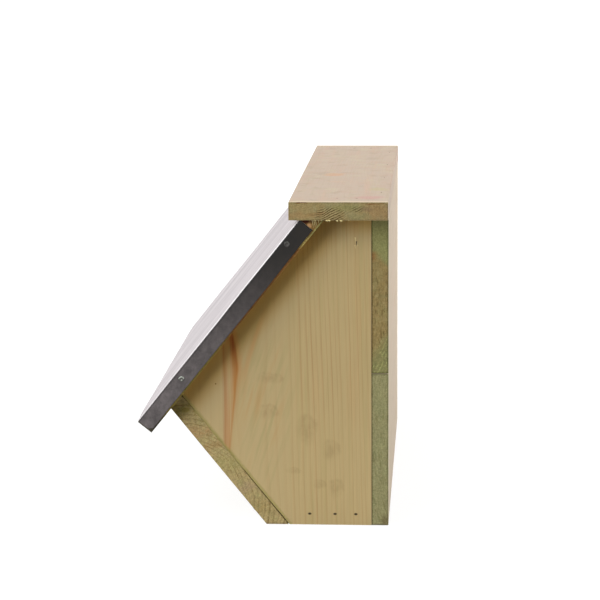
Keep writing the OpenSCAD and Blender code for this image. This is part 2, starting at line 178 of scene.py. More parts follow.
class Finish(Graph):
    """A material, with ways to draw on it. Places and sizes are in metres."""

    def __init__(self, name):
        self.material = bpy.data.materials.new(name)
        self.material.use_nodes = True
        super().__init__(self.material.node_tree)
        place = self.node("ShaderNodeTexCoord").outputs
        self.place = place["Object"]
        self.normal = place["Normal"]

    def plane(self, a, b=0):
        """Coordinates in place of x and z."""
        return self.node("ShaderNodeCombineXYZ", X=a, Z=b).outputs[0]

    def along(self, direction):
        """How far the place lies along a direction."""
        return self.vector("DOT_PRODUCT", self.place, direction, result="Value")

    def scaled(self, vector, scale, shift=(0, 0, 0)):
        return self.vector("MULTIPLY_ADD", vector, scale, shift)

    def noise(self, scale, detail=3, roughness=0.55, place=None, result="Fac"):
        """Noise of about that many features to a metre, the same or its own number along each axis."""
        place = self.place if place is None else place
        if isinstance(scale, tuple):
            place, scale = self.scaled(place, scale), 1
        made = self.node("ShaderNodeTexNoise", Vector=place, Scale=scale, Detail=detail, Roughness=roughness)
        return made.outputs[result]

    def noises(self, *values, **more):
        """Three noises that differ, as the channels of one colour."""
        return self.split(self.noise(*values, **more, result="Color"))

    def abs(self, value):
        return self.math("ABSOLUTE", value)

    def window(self, value, low, lower, upper, high):
        """1 from lower to upper, falling to 0 at low and at high."""
        return self.times(self.remap(value, low, lower), self.remap(value, upper, high, 1, 0))

    def spot(self, a, b, middle, radii, core=0):
        """1 in the core of an ellipse on the plane of a and b, falling to 0 at its rim."""
        away = self.hypot(self.times(self.less(a, middle[0]), 1 / radii[0]),
                          self.times(self.less(b, middle[1]), 1 / radii[1]))
        return self.remap(away, core, 1, 1, 0)

    def spotted(self, colour, a, b, core, spots):
        """A colour with spots mixed in, each given as (middle, radii, share, tone)."""
        for middle, radii, share, tone in spots:
            colour = self.mix(self.times(self.spot(a, b, middle, radii, core), share), colour, tone)
        return colour

    def shaken(self, value, scale, reach, channel=0):
        """A coordinate with a little noise in it, so that what it bounds has a natural rim."""
        shake = self.noises(scale, 2)[channel]
        return self.add(value, self.times(self.less(shake, 0.5), reach))

    def mix(self, factor, a, b):
        """Two colours mixed, each a node's result or a tone in the usual 0 to 255 scale."""
        made = self.node("ShaderNodeMix", factor, settings={"data_type": "RGBA"})
        sockets = [socket for socket in made.inputs if socket.type == "RGBA"]
        for socket, colour in zip(sockets, (a, b)):
            self.feed(socket, srgb(*colour) if isinstance(colour, tuple) else colour)
        return next(socket for socket in made.outputs if socket.type == "RGBA")

    def shade(self, colour, factor):
        """A colour made lighter or darker by a factor."""
        return self.vector("SCALE", colour, Scale=factor)

    def dappled(self, colour, pattern, low, high, darkest, lightest):
        """A colour shaded by a pattern, which is darkest at low and lightest at high."""
        return self.shade(colour, self.remap(pattern, low, high, darkest, lightest, smooth=False))

    def finish(self, colour, roughness, height, depth, **constants):
        """Ends the material in one shader, with a bump of that depth."""
        bump = self.node("ShaderNodeBump", Height=height, Distance=depth)
        shader = self.node("ShaderNodeBsdfPrincipled", Base_Color=colour, Roughness=roughness,
                           Normal=bump.outputs["Normal"], **constants)
        self.node("ShaderNodeOutputMaterial", Surface=shader.outputs["BSDF"])
        return self.material


# Wood. A board is cut from a log: rings lie round its pith, which runs along the grain, so
# the lines on a face and the arcs on the ends belong together.

@dataclass
class Wood:
    """Tones and grain of one board. Places are in metres, and pith is where the log's middle is."""
    grain: str
    pith: tuple
    ring: float
    seed: float
    early: tuple
    late: tuple
    end_early: tuple = (150, 140, 95)
    end_late: tuple = (112, 96, 60)
    stain: tuple = (150, 146, 98)
    stain_share: float = 0.3
    blush: tuple = (190, 146, 110)
    blush_share: float = 0.25
    ring_share: float = 0.45
    end_ring_share: float = 0.7
    lean: float = 0
    wander: float = 0.012
    ripple: float = 0.002
    rim: float = 0
    face_marks: object = None
    end_marks: object = None


def wood_finish(name, wood, box=None):
    """A planed, treated board that fills the box, which only a rim needs."""
    made = Finish(name)
    x, y, z = made.split(made.place)
    d = made.less(BACK_Y, y)
    along, *across = {"X": (x, y, z), "Z": (z, x, y)}[wood.grain]
    shift = Vector((wood.seed * 1.7, wood.seed * 2.3, wood.seed * 3.1))

    def stretched(length, width):
        """Coordinates drawn out along the grain: features are about that long and that wide."""
        scale = [1 / length if axis == wood.grain else 1 / width for axis in "XYZ"]
        return made.scaled(made.place, scale, shift)

    # Growth rings
    wander = made.noises(1, 1, place=stretched(0.3, 0.06))
    ripple = made.noises(1, 2, place=stretched(0.07, 0.01))
    from_pith = [made.add(
        made.less(across[axis], wood.pith[axis]),
        made.times(made.less(wander[axis], 0.5), wood.wander),
        made.times(made.less(ripple[axis], 0.5), wood.ripple),
        made.times(along, wood.lean * axis)) for axis in (0, 1)]
    radius = made.hypot(*from_pith)
    age = made.scaled(made.plane(radius), (1, 1, 1), shift)
    season = made.noise(90, 2, place=age)
    vigour = made.remap(made.noise(260, 1, place=age), 0.35, 0.65, 0.35, 1)
    year = made.math("FRACT", made.add(made.times(radius, 1 / wood.ring), made.times(season, 2.2)))
    latewood = made.times(made.window(year, 0.52, 0.88, 0.93, 1), vigour)

    # Fibres, stains and the long soft changes of tone
    fibres = made.noise(1, 4, 0.6, stretched(0.03, 0.0007))
    streaks = made.noise(1, place=stretched(0.12, 0.004))
    patches = made.noise(1, place=stretched(0.09, 0.03))
    faint = made.noise(1.3, 2, place=stretched(0.2, 0.012))

    ring_line = made.times(latewood, made.remap(patches, 0.3, 0.7, 0.35, 1), wood.ring_share)
    face = made.mix(ring_line, wood.early, wood.late)
    face = made.mix(made.remap(streaks, 0.48, 0.72, 0, wood.stain_share), face, wood.stain)
    face = made.mix(made.remap(faint, 0.55, 0.75, 0, wood.blush_share), face, wood.blush)
    face = made.dappled(face, fibres, 0.25, 0.75, 0.93, 1.07)
    if wood.face_marks:
        face = wood.face_marks(made, face, x, d, z)

    # End grain drinks more of the treatment and shows the rings, the pores and the saw
    pores = made.noise(1100, 3, 0.75)
    grit = made.noise(520, 2, 0.7)
    saw = made.noise((60, 700, 60), 3, 0.6)
    mottle = made.noises(110, 4, 0.65)
    visible = made.remap(mottle[1], 0.36, 0.6, 0.35, 1)
    ring_tone = made.mix(made.remap(mottle[2], 0.46, 0.62), wood.end_late, (122, 76, 38))
    end = made.mix(made.times(latewood, visible, wood.end_ring_share), wood.end_early, ring_tone)
    end = made.mix(made.remap(mottle[0], 0.45, 0.65, 0, 0.5), end, wood.stain)
    if wood.end_marks:
        end = wood.end_marks(made, end, d, z)
    end = made.dappled(end, pores, 0.3, 0.7, 0.74, 1.24)
    end = made.dappled(end, grit, 0.34, 0.66, 0.87, 1.13)
    end = made.dappled(end, saw, 0.3, 0.7, 0.93, 1.06)
    if wood.rim:
        low, high = box
        inside = made.math("MINIMUM", made.less(y, low.y), made.less(high.y, y),
                           made.less(z, low.z), made.less(high.z, z))
        end = made.shade(end, made.remap(inside, 0.4 * MM, 2 * MM, 1 - wood.rim, 1))
    is_end = made.remap(made.abs(made.split(made.normal)[wood.grain]), 0.6, 0.8)

    colour = made.mix(is_end, face, end)
    relief = made.add(made.times(latewood, 0.35), made.times(fibres, 0.5),
                      made.times(is_end, made.add(made.times(pores, 1.2), made.times(saw, 0.8))))
    roughness = made.add(made.remap(fibres, 0.2, 0.8, 0.5, 0.66), made.times(is_end, 0.18))
    return made.finish(colour, roughness, relief, 0.12 * MM, IOR=1.48, Specular_IOR_Level=0.2)


def brad_places(node):
    """(distance from the wall, height) of each brad of a row that runs along X."""
    points = [(BACK_Y - v.co.y, v.co.z) for v in NODES[node].data.vertices]
    rows = []
    for d, z in sorted(points):
        if not rows or d - rows[-1][-1][0] > 4 * MM:
            rows.append([])
        rows[-1].append((d, z))
    return [tuple(sum(values) / len(row) for values in zip(*row)) for row in rows]


def below_roof(made, d, z):
    """Distance in metres from the roof's underside, square to it."""
    across = made.add(made.times(d, math.sin(ROOF_SLOPE)), made.times(z, math.cos(ROOF_SLOPE)))
    return made.less(ROOF_LINE, across)


def painted_eave_shade(made, face, d, z):
    """Painted shade: the panel is made darker and warmer under the roof and the top board, and darker still
    in the corner between them, where their shadow falls.
    """
    # Painted shade: deeper and warmer within a few centimetres of the roof and the top board
    under_roof = made.remap(below_roof(made, d, z), 0.002, 0.027, 1, 0)
    under_top = made.remap(made.less(EAVES_Z, z), 0, 0.02, 0.8, 0)
    shaded_tone = made.vector("MULTIPLY", face, (1.05, 0.85, 0.45))
    face = made.mix(made.math("MAXIMUM", under_roof, under_top), face, shaded_tone)
    # Painted shade: darker still in the corner under the roof and the top board
    corner = made.spot(d, z, (ROOF_START_D, EAVES_Z), (0.034, 0.03), 0.1)
    return made.shade(face, made.less(1, made.times(corner, 0.35)))


def green_rim(made, face, d, z):
    """The treatment has stained a narrow, uneven band along the edge that meets the flap."""
    inside = made.less(made.times(made.shaken(z, 260, 0.003), math.cos(PANEL_SLOPE)),
                       made.times(made.less(d, PANEL_FOOT_D), math.sin(PANEL_SLOPE)))
    return made.mix(made.remap(inside, 0.0006, 0.0034, 0.75, 0), face, (160, 148, 86))


def panel_marks(made, face, x, d, z):
    """What both side panels show: painted shade under the roof and the top board, and the stained rim."""
    return green_rim(made, painted_eave_shade(made, face, d, z), d, z)


AMBER = (190, 144, 88)


def pink_band(made, face, d, z):
    """A band of pink wood with a soft border at one side and a bent streak of resin at the other."""
    shaken_d = made.shaken(d, 14, 0.003)
    strands = made.noise((1, 640, 10), 2)
    bend_z, bend_d, border_d = 0.138, 0.1302, 0.1415
    rise = made.less(z, bend_z)
    upper = made.math("MAXIMUM", rise, 0)
    lower = made.math("MINIMUM", rise, 0)
    streak_d = made.add(made.times(upper, upper, 4.6), made.times(lower, -0.1), bend_d)
    from_streak = made.less(shaken_d, streak_d)
    from_border = made.abs(made.less(shaken_d, border_d))
    band = made.times(made.remap(from_streak, -0.001, 0.001),
                      made.remap(shaken_d, border_d, border_d + 0.0025, 1, 0))
    filled = made.times(made.remap(strands, 0.36, 0.58, 0.2, 0.75), made.remap(z, 0.1, 0.16, 1, 0.6))
    face = made.mix(made.times(band, filled), face, (186, 140, 94))
    border = made.times(made.remap(from_border, 0, 0.0026, 0.4, 0), made.remap(strands, 0.3, 0.6, 0.4, 1))
    face = made.mix(border, face, (158, 100, 58))
    halo = made.remap(made.abs(from_streak), 0.001, 0.0065, 1, 0)
    face = made.mix(made.times(halo, made.remap(z, 0.08, 0.15, 0.15, 0.7)), face, AMBER)
    soft_side = made.remap(z, 0.11, 0.15, 0.0014, 0.0066)
    streak = made.times(made.remap(from_streak, -0.0018, 0.0006),
                        made.remap(made.math("DIVIDE", from_streak, soft_side), 0.15, 1, 1, 0),
                        made.remap(strands, 0.3, 0.6, 0.65, 1))
    resin = made.mix(made.remap(z, 0.128, 0.158), (178, 118, 60), (148, 86, 34))
    return made.mix(made.times(streak, made.remap(z, 0.085, 0.13, 0.45, 1)), face, resin)


def slanting_stains(made, face, d, z):
    """Slanting stains, green and amber, over the plain half."""
    for middle_d, middle_z, slope, half_width, half_height, share in (
            (0.1163, 0.16, 0.346, 0.0046, 0.045, 0.55), (0.1125, 0.11, 0.2, 0.0044, 0.028, 0.5),
            (0.1235, 0.13, 0.1, 0.004, 0.03, 0.3)):
        above = made.less(z, middle_z)
        aside = made.add(made.shaken(d, 30, 0.003, 1), made.times(above, slope))
        stain = ((middle_d, 0), (half_width, half_height), share, AMBER)
        face = made.spotted(face, aside, above, 0, [stain])
    slanting = made.plane(made.add(d, made.times(z, 0.3)), z)
    stripes = made.noise((200, 1, 16), 2, place=slanting)
    plain_half = made.spot(d, z, (0.108, 0.11), (0.036, 0.105), 0.3)
    face = made.mix(made.times(made.remap(stripes, 0.46, 0.68, 0, 0.4), plain_half), face, (160, 152, 100))
    return made.mix(made.times(made.remap(stripes, 0.28, 0.46, 0.3, 0), plain_half), face, AMBER)


# Middle and radii of the smudges on the right side panel, as (distance from the wall, height)
KNOTS = [((0.0709, 0.0843), (0.0085, 0.0125)), ((0.0502, 0.0658), (0.0072, 0.0088)),
         ((0.046, 0.0327), (0.0066, 0.0075)), ((0.06, 0.0361), (0.005, 0.004)),
         ((0.083, 0.0484), (0.006, 0.0026)), ((0.1034, 0.1302), (0.011, 0.0045)),
         ((0.104, 0.1), (0.008, 0.006))]


def knot_smudges(made, face, d, z):
    """A smudge over each knot that lies under the surface, with an arch above it."""
    smudge = (136, 112, 68)
    knot_d = made.shaken(d, 110, 0.006)
    knot_z = made.shaken(z, 110, 0.006, 1)
    slanting = made.add(z, made.times(d, -0.6))
    grit = made.remap(made.noise((1, 330, 170)), 0.36, 0.62)
    for middle, radii in KNOTS:
        blot = made.spot(knot_d, knot_z, middle, [1.35 * radius for radius in radii], 0.1)
        away = made.spot(knot_d, knot_z, middle, [2 * radius for radius in radii])
        start = middle[1] - middle[0] * 0.6
        arch = made.times(made.window(away, 0.26, 0.5, 0.5, 0.74),
                          made.remap(slanting, start, start + radii[1] * 0.6))
        face = made.mix(made.times(blot, made.add(made.times(grit, 0.15), 0.13)), face, smudge)
        face = made.mix(made.times(arch, made.add(made.times(grit, 0.13), 0.06)), face, smudge)
    return face


def right_panel_marks(made, face, x, d, z):
    """Resin streaks, slanting stains, smudges over hidden knots, a speck, and painted light towards the foot.
    """
    face = made.mix(made.remap(d, 0.074, 0.092, 0, 0.7), face, (188, 167, 122))
    # Painted light: the panel is made lighter towards its foot, as by light from the floor
    face = made.shade(face, made.remap(z, 0.02, 0.15, 1.08, 1))
    face = pink_band(made, face, d, z)
    face = slanting_stains(made, face, d, z)
    face = knot_smudges(made, face, d, z)
    face = made.mix(made.spot(d, z, (0.1493, 0.1251), (0.0009, 0.0009), 0.3), face, (110, 82, 40))
    brads = brad_places("right_floor_brads")
    face = made.spotted(face, d, z, 0.45, [(brad, (0.0021, 0.0014), 1, (70, 50, 20)) for brad in brads])
    return panel_marks(made, face, x, d, z)


def top_face_marks(made, face, x, d, z):
    """Soft blots on the weathered upper face, with a painted highlight along its ends and painted light
    towards the far end.
    """
    shaken_d = made.shaken(d, 60, 0.012)
    shaken_x = made.shaken(x, 60, 0.02, 1)
    blots = made.noises(52, 4, 0.62)
    lines = made.noise((14, 480, 480), 3, 0.6)
    face = made.mix(made.remap(blots[0], 0.46, 0.64, 0, 0.45), face, (178, 150, 132))
    face = made.mix(made.remap(blots[1], 0.5, 0.66, 0, 0.45), face, (182, 172, 142))
    face = made.mix(made.remap(blots[2], 0.53, 0.66, 0, 0.4), face, (156, 138, 118))
    face = made.mix(made.remap(lines, 0.52, 0.7, 0, 0.12), face, (158, 140, 120))
    face = made.spotted(face, shaken_x, shaken_d, 0.3, [
        ((0.182, 0.016), (0.012, 0.019), 0.6, (182, 138, 130)),
        ((0.027, 0.054), (0.012, 0.013), 0.6, (190, 146, 112)),
        ((0.078, 0.05), (0.009, 0.014), 0.3, (188, 150, 132)),
        ((0.13, 0.01), (0.016, 0.012), 0.5, (172, 164, 118))])
    # Painted highlight: cream on the last few millimetres of the upper face at each end, where the arris
    # catches the light
    from_end = made.less(TOP_BOARD_END_X, made.abs(x))
    painted_arris_highlight = made.times(made.remap(from_end, 0.004, 0.009, 0.7, 0), made.remap(z, 0.2848, 0.2856))
    # Painted light: the face is made lighter towards the far end, as by light from behind
    return made.mix(painted_arris_highlight, made.shade(face, made.remap(x, -0.21, 0.12, 1.045, 1.012)), (206, 188, 158))


def back_face_marks(made, face, x, d, z):
    """A painted highlight, cream, towards the ends, and a few upright grey streaks on the face to the wall.
    """
    from_end = made.less(SIDE_X, made.abs(x))
    streaks = made.noise((60, 60, 9))
    face = made.mix(made.remap(streaks, 0.5, 0.72, 0, 0.2), face, (166, 152, 132))
    # Painted highlight: cream along the face near each end
    return made.mix(made.remap(from_end, 0.008, 0.045, 0.7, 0), face, (204, 190, 160))


def top_end_marks(made, end, d, z):
    """Reddish and green zones, and the dark arcs that stand out low in the middle."""
    shaken_d = made.shaken(d, 90, 0.012)
    shaken_z = made.shaken(z, 90, 0.007, 1)
    end = made.spotted(end, shaken_d, shaken_z, 0.2, [
        ((0.008, 0.2775), (0.018, 0.012), 0.4, (150, 112, 76)),
        ((0.078, 0.275), (0.014, 0.005), 0.4, (158, 118, 76)),
        ((0.06, 0.2755), (0.013, 0.003), 0.4, (146, 100, 58)),
        ((0.034, 0.2815), (0.02, 0.005), 0.6, (136, 134, 82)),
        ((0.024, 0.274), (0.014, 0.005), 0.6, (140, 134, 92)),
        ((0.018, 0.28), (0.01, 0.003), 0.5, (126, 104, 80)),
        ((0.073, 0.2848), (0.007, 0.0012), 0.9, (112, 70, 34)),
        ((0.012, 0.2848), (0.008, 0.0012), 0.7, (124, 84, 50))])
    arc_d = made.shaken(d, 90, 0.005)
    arc_z = made.shaken(z, 110, 0.0026, 1)
    rise = made.add(made.times(made.less(0.06, arc_d), 0.14),
                    made.times(made.math("MAXIMUM", made.less(0.056, arc_d), 0), 0.36))
    arcs = made.math("FRACT", made.times(made.less(arc_z, rise), 1 / 0.002))
    line = made.window(arcs, 0.3, 0.55, 0.65, 0.9)
    strong = made.math("MAXIMUM", made.spot(d, z, (0.049, 0.275), (0.017, 0.0085), 0.5),
                       made.times(made.spot(d, z, (0.026, 0.28), (0.008, 0.004), 0.2), 0.8))
    broken = made.remap(made.noise(260, 2), 0.34, 0.54, 0.45, 1)
    end = made.mix(made.times(line, strong, broken), end, (48, 28, 10))
    between = made.times(made.remap(arcs, 0.85, 0.98), made.remap(arcs, 0, 0.15), strong, 0.6)
    return made.mix(between, end, (176, 166, 118))


def upper_back_end_marks(made, end, d, z):
    """Green at the top and at the foot, brown between, with pale saw lines at the foot."""
    shaken_z = made.shaken(z, 60, 0.012)
    boundary = made.less(shaken_z, made.add(made.times(d, 0.75), 0.2295))
    end = made.mix(made.remap(boundary, -0.003, 0.004, 0, 0.8), end, (144, 146, 92))
    end = made.spotted(end, d, shaken_z, 0, [((0.013, 0.236), (0.004, 0.006), 0.6, (150, 104, 58))])
    foot = made.remap(made.add(shaken_z, made.times(d, 1.5)), 0.158, 0.18, 1, 0)
    end = made.mix(made.times(foot, 0.7), end, (128, 130, 84))
    saw_turn = made.add(z, made.times(made.shaken(d, 200, 0.003), 2.1))
    saw_line = made.window(made.math("FRACT", made.times(saw_turn, 1 / 0.0066)), 0.25, 0.5, 0.5, 0.8)
    patchy = made.remap(made.noise(150, 2), 0.42, 0.6, 0, 0.75)
    end = made.mix(made.times(saw_line, foot, patchy), end, (172, 174, 108))
    middle = made.spot(d, z, (0.0075, 0.19), (0.016, 0.05), 0.5)
    dashes = made.noise((640, 1, 150), 2, place=made.plane(bowed(made, d, z, 0.19, 1.6), z))
    end = made.mix(made.times(made.remap(dashes, 0.53, 0.64, 0, 0.6), middle), end, (98, 78, 40))
    end = made.mix(made.times(made.remap(dashes, 0.34, 0.45, 0.5, 0), middle), end, (168, 150, 102))
    return painted_joint_shade(made, end, d, 0.6)


def bowed(made, d, z, height, bow):
    """The distance from the wall, bent so that its lines bow out at that height."""
    above = made.less(z, height)
    return made.add(d, made.times(above, above, bow))


def painted_joint_shade(made, end, d, share):
    """Painted shade in the joint with the side panel."""
    clean = BACK_THICKNESS - 0.0014
    joint_shade = made.remap(made.shaken(d, 300, 0.0012), clean, clean + 0.001, 0, share)
    return made.mix(joint_shade, end, (78, 58, 22))


def lower_back_end_marks(made, end, d, z):
    """Plain grey-green, with a few broken arcs that bow towards the wall."""
    arcs = made.noise((560, 1, 90), 2, place=made.plane(bowed(made, d, z, 0.09, 2.2), z))
    end = made.mix(made.remap(arcs, 0.54, 0.68, 0, 0.5), end, (112, 106, 64))
    end = made.mix(made.remap(arcs, 0.32, 0.45, 0.4, 0), end, (166, 164, 118))
    end = made.spotted(end, d, z, 0, [((0.003, 0.004), (0.005, 0.009), 0.7, (104, 88, 56))])
    return painted_joint_shade(made, end, d, 0.45)


def flap_end_marks(made, end, d, z):
    """Dark green high up, partly painted shade under the roof; reddish below that, plain in the middle and
    streaked at the foot.
    """
    lean = 0.3
    shaken_z = made.shaken(made.add(z, made.times(d, lean)), 70, 0.012)
    patchy = made.remap(made.noise(130), 0.38, 0.58, 0.35, 1)
    # The first band, dark green, is partly painted shade under the roof
    for height, half, share, tone in (
            (0.104, 0.013, 0.85, (126, 112, 46)), (0.083, 0.01, 0.5, (176, 136, 92)),
            (0.07, 0.005, 0.4, (150, 110, 62)), (0.054, 0.012, 0.6, (166, 156, 98)),
            (0.033, 0.006, 0.4, (172, 146, 118)), (0.015, 0.01, 0.4, (150, 126, 70))):
        centre = height * (1 + lean / math.tan(FLAP_SLOPE)) + FLAP_MIDDLE_D * lean
        away = made.abs(made.less(shaken_z, centre))
        end = made.mix(made.times(made.remap(away, 0.2 * half, half, share, 0), patchy), end, tone)
    turned = made.plane(made.add(made.times(z, 0.8), made.times(d, 0.6)),
                        made.less(made.times(d, 0.8), made.times(z, 0.6)))
    grain = made.noise((620, 1, 260), place=turned)
    end = made.mix(made.remap(grain, 0.54, 0.68, 0, 0.35), end, (104, 84, 42))
    return made.mix(made.remap(grain, 0.32, 0.46, 0.35, 0), end, (188, 178, 124))


def roof_end_marks(made, end, d, z):
    """Dark, broken wood where the board meets the top board; greyer towards the lower edge."""
    shaken_d = made.shaken(d, 300, 0.003)
    in_corner = made.remap(z, 0.2545, 0.2575, 0, 0.8)
    end = made.mix(made.times(in_corner, made.remap(shaken_d, 0.0545, 0.0575)), end, (118, 84, 42))
    end = made.mix(made.spot(shaken_d, z, (0.0695, 0.2705), (0.005, 0.0045), 0.5), end, (66, 24, 6))
    end = made.spotted(end, shaken_d, z, 0.3, [
        ((0.064, 0.2705), (0.0024, 0.004), 1, (76, 36, 12)),
        ((0.0668, 0.2655), (0.003, 0.003), 1, (196, 150, 104))])
    below = made.remap(below_roof(made, d, z), -0.0016, -0.0008)
    end = made.mix(made.times(below, in_corner), end, (146, 142, 84))
    strip_tone = made.mix(made.remap(z, 0.15, 0.18), (134, 118, 56), (124, 74, 34))
    end = made.mix(made.remap(z, 0.244, 0.25, 0.85, 0), end, strip_tone)
    return made.mix(made.remap(z, 0.094, 0.106, 0.95, 0), end, (62, 60, 50))


WOODS = {
    "right_side_panel": Wood(
        "Z", (SIDE_X - 0.045, BACK_Y - 0.116), 3.4 * MM, 1,
        (188, 166, 119), (164, 120, 68), stain=(172, 156, 104), stain_share=0.35,
        blush=(190, 154, 106), ring_share=0.5, lean=0.03, wander=0.006, ripple=0.0011,
        face_marks=right_panel_marks),
    "left_side_panel": Wood(
        "Z", (-SIDE_X - 0.03, BACK_Y - 0.06), 3.9 * MM, 5,
        (187, 167, 124), (154, 122, 80), wander=0.008, ripple=0.001, face_marks=panel_marks),
    "top_board": Wood(
        "X", (BACK_Y - 0.105, 0.4), 1.9 * MM, 9,
        (178, 160, 142), (164, 144, 124), (156, 138, 92), (104, 80, 46),
        stain=(152, 146, 104), stain_share=0.15, blush=(188, 152, 130), blush_share=0.4,
        ring_share=0.2, end_ring_share=0.4, wander=0.02, rim=0.2,
        face_marks=top_face_marks, end_marks=top_end_marks),
    "upper_back_board": Wood(
        "X", (BACK_Y - 0.082, 0.199), 1.5 * MM, 13,
        (186, 168, 146), (168, 144, 118), (150, 130, 82), (104, 82, 46),
        stain=(146, 138, 90), end_ring_share=0.35, rim=0.45, face_marks=back_face_marks,
        end_marks=upper_back_end_marks),
    "lower_back_board": Wood(
        "X", (BACK_Y + 0.09, 0.06), 1.3 * MM, 17,
        (186, 168, 146), (168, 146, 120), (152, 147, 104), (126, 122, 82),
        stain=(142, 142, 98), end_ring_share=0.3, rim=0.35, face_marks=back_face_marks,
        end_marks=lower_back_end_marks),
    "floor_board": Wood(
        "X", (BACK_Y - 0.05, -0.05), 2.6 * MM, 21, (184, 166, 126), (160, 134, 94)),
    "roof_board": Wood(
        "X", (BACK_Y - 0.1, 0.12), 2.4 * MM, 25,
        (186, 168, 124), (158, 130, 86), (176, 156, 90), (124, 92, 48),
        stain=(164, 150, 82), end_marks=roof_end_marks),
    "cleaning_flap": Wood(
        "X", (BACK_Y - 0.181, 0.014), 3.3 * MM, 29,
        (186, 168, 126), (160, 136, 94), (182, 162, 112), (118, 94, 48),
        stain=(158, 150, 98), end_ring_share=0.9, rim=0.25, end_marks=flap_end_marks),
}


# Metal

def zinc_finish():
    """Pale dull zinc on the slope, with a painted highlight along the folds. The turned-down flanges are
    blotchy and painted dark, mostly a painted reflection of the dark side of the room.
    """
    made = Finish("dull_zinc")
    x, _, z = made.split(made.place)
    brushed = made.noise((900, 25, 25))
    rolled = made.noise((42, 7, 7), 4, 0.6)
    clouds = made.noise(28, 4)
    specks = made.noise(700, 2)
    blotches = made.noise(190, 4, 0.7)
    scuffs = made.noise((40, 40, 26), 4, 0.7)
    face = made.mix(made.remap(rolled, 0.32, 0.66), (166, 160, 162), (186, 180, 182))
    face = made.mix(made.remap(clouds, 0.45, 0.75, 0, 0.4), face, (178, 172, 175))
    face = made.dappled(face, brushed, 0.3, 0.7, 0.955, 1.03)
    face = made.mix(made.remap(specks, 0.62, 0.76, 0, 0.3), face, (118, 114, 116))

    # Painted shade along a faint roll beside each fold, with two fainter dotted streaks further in, and a
    # painted highlight along the bend itself
    from_fold = made.less(SHEET_END_X, made.abs(x))
    dots = made.remap(made.noise((140, 120, 120)), 0.4, 0.62, 0.3, 1)
    for near, far, share in ((0.013, 0.02, 0.3), (0.05, 0.056, 0.14), (0.105, 0.113, 0.1)):
        crease_shade_and_streak = made.window(from_fold, near - 0.004, near, far, far + 0.006)
        face = made.mix(made.times(crease_shade_and_streak, dots, share), face, (96, 92, 94))
    # Painted highlight: the bend is made bright, most of all high up
    bend = made.times(made.remap(from_fold, 0.004, 0.009, 1, 0), made.remap(z, 0.1, 0.24, 0.4, 1))
    face = made.mix(bend, face, (214, 211, 211))

    # Flanges: a painted dark reflection, darkest high up and right under the fold, with blotches and scuffs
    dark = made.mix(made.remap(z, 0.09, 0.26), (90, 84, 84), (15, 10, 5))
    dark = made.dappled(dark, blotches, 0.3, 0.7, 0.7, 1.35)
    dark = made.dappled(dark, scuffs, 0.3, 0.7, 0.7, 1.4)
    # Painted reflection: darker still right under the fold
    below_face = made.less(SHEET_FACE, made.along(OUT_OF_ROOF))
    dark = made.shade(dark, made.remap(below_face, 0.001, 0.0024, 0.5, 1))
    turned_down = made.remap(made.abs(made.split(made.normal)["X"]), 0.55, 0.95)
    roughness = made.less(made.remap(clouds, 0.3, 0.7, 0.63, 0.71), made.times(turned_down, 0.23))
    relief = made.add(brushed, made.times(blotches, 0.6))
    return made.finish(made.mix(turned_down, face, dark), roughness, relief, 0.02 * MM, Metallic=0.45)


def steel_finish(name, light, dark, roughness):
    """Plated or galvanised steel with a spangle, dulled in blotches."""
    made = Finish(name)
    spangle = made.node("ShaderNodeTexVoronoi", Vector=made.place, Scale=900).outputs["Distance"]
    blotches = made.noise(420, 4, 0.6)
    scratches = made.noise((250, 2400, 2400), 2)
    colour = made.mix(made.remap(blotches, 0.35, 0.65), light, dark)
    colour = made.dappled(colour, spangle, 0, 0.6, 0.92, 1.08)
    rough = made.add(roughness, made.remap(scratches, 0.3, 0.7, -0.06, 0.08))
    return made.finish(colour, rough, made.add(scratches, blotches), 0.015 * MM, Metallic=0.9)


def nail_finish():
    """Galvanised heads, darker higher up, with a painted highlight: a bright arc along the upper side of the
    rim and a glint below the middle, faint on the upper nails.
    """
    made = Finish("galvanised_steel_painted_glint")
    up, out = made.along(UP_ROOF), made.along(OUT_OF_ROOF)
    blotches = made.noise(900, 3, 0.6)
    colour = made.mix(made.remap(made.split(made.place)["Z"], 0.12, 0.2), (78, 76, 72), (48, 45, 42))
    for _, nail_up, nail_out in SHEET_NAILS[2:]:
        # Painted highlight: a bright arc along the upper side of each rim and a glint below its middle
        beside, above = made.less(up, nail_up), made.less(out, nail_out)
        rim = made.window(made.hypot(beside, above), 1.1 * MM, 1.7 * MM, 2.4 * MM, 3 * MM)
        upper_side = made.add(made.times(beside, UP_ROOF.z), made.times(above, OUT_OF_ROOF.z))
        arc = made.times(rim, made.remap(upper_side, -0.4 * MM, 0.9 * MM))
        dot = made.spot(up, out, (nail_up - 0.7 * MM, nail_out - 0.5 * MM), (0.9 * MM, 0.9 * MM), 0.2)
        # worn is the patchy painted highlight
        worn = made.times(made.math("MAXIMUM", arc, dot), made.remap(blotches, 0.3, 0.6, 0.4, 1))
        share = 0.06 if nail_up > MIDDLE_UP else 0.75
        colour = made.mix(made.times(worn, share), colour, (190, 198, 186))
    return made.finish(colour, 0.6, blotches, 0.02 * MM, Metallic=0.3)


# Geometry

def new_object(name, data):
    """An object in the scene that shows the data: a mesh, a lamp or a lens."""
    made = bpy.data.objects.new(name, data)
    SCENE.collection.objects.link(made)
    return made


def mesh_object(name, points, faces, material, smooth_below):
    """A closed mesh that rides on the box, smooth except across sharp edges."""
    mesh = bpy.data.meshes.new(name)
    mesh.from_pydata(points, [], faces)
    shape = bmesh.new()
    shape.from_mesh(mesh)
    bmesh.ops.recalc_face_normals(shape, faces=shape.faces)
    shape.to_mesh(mesh)
    shape.free()
    mesh.materials.append(material)
    mesh.shade_smooth()
    mesh.set_sharp_from_angle(angle=math.radians(smooth_below))
    made = new_object(name, mesh)
    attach(made, "box")
    return made


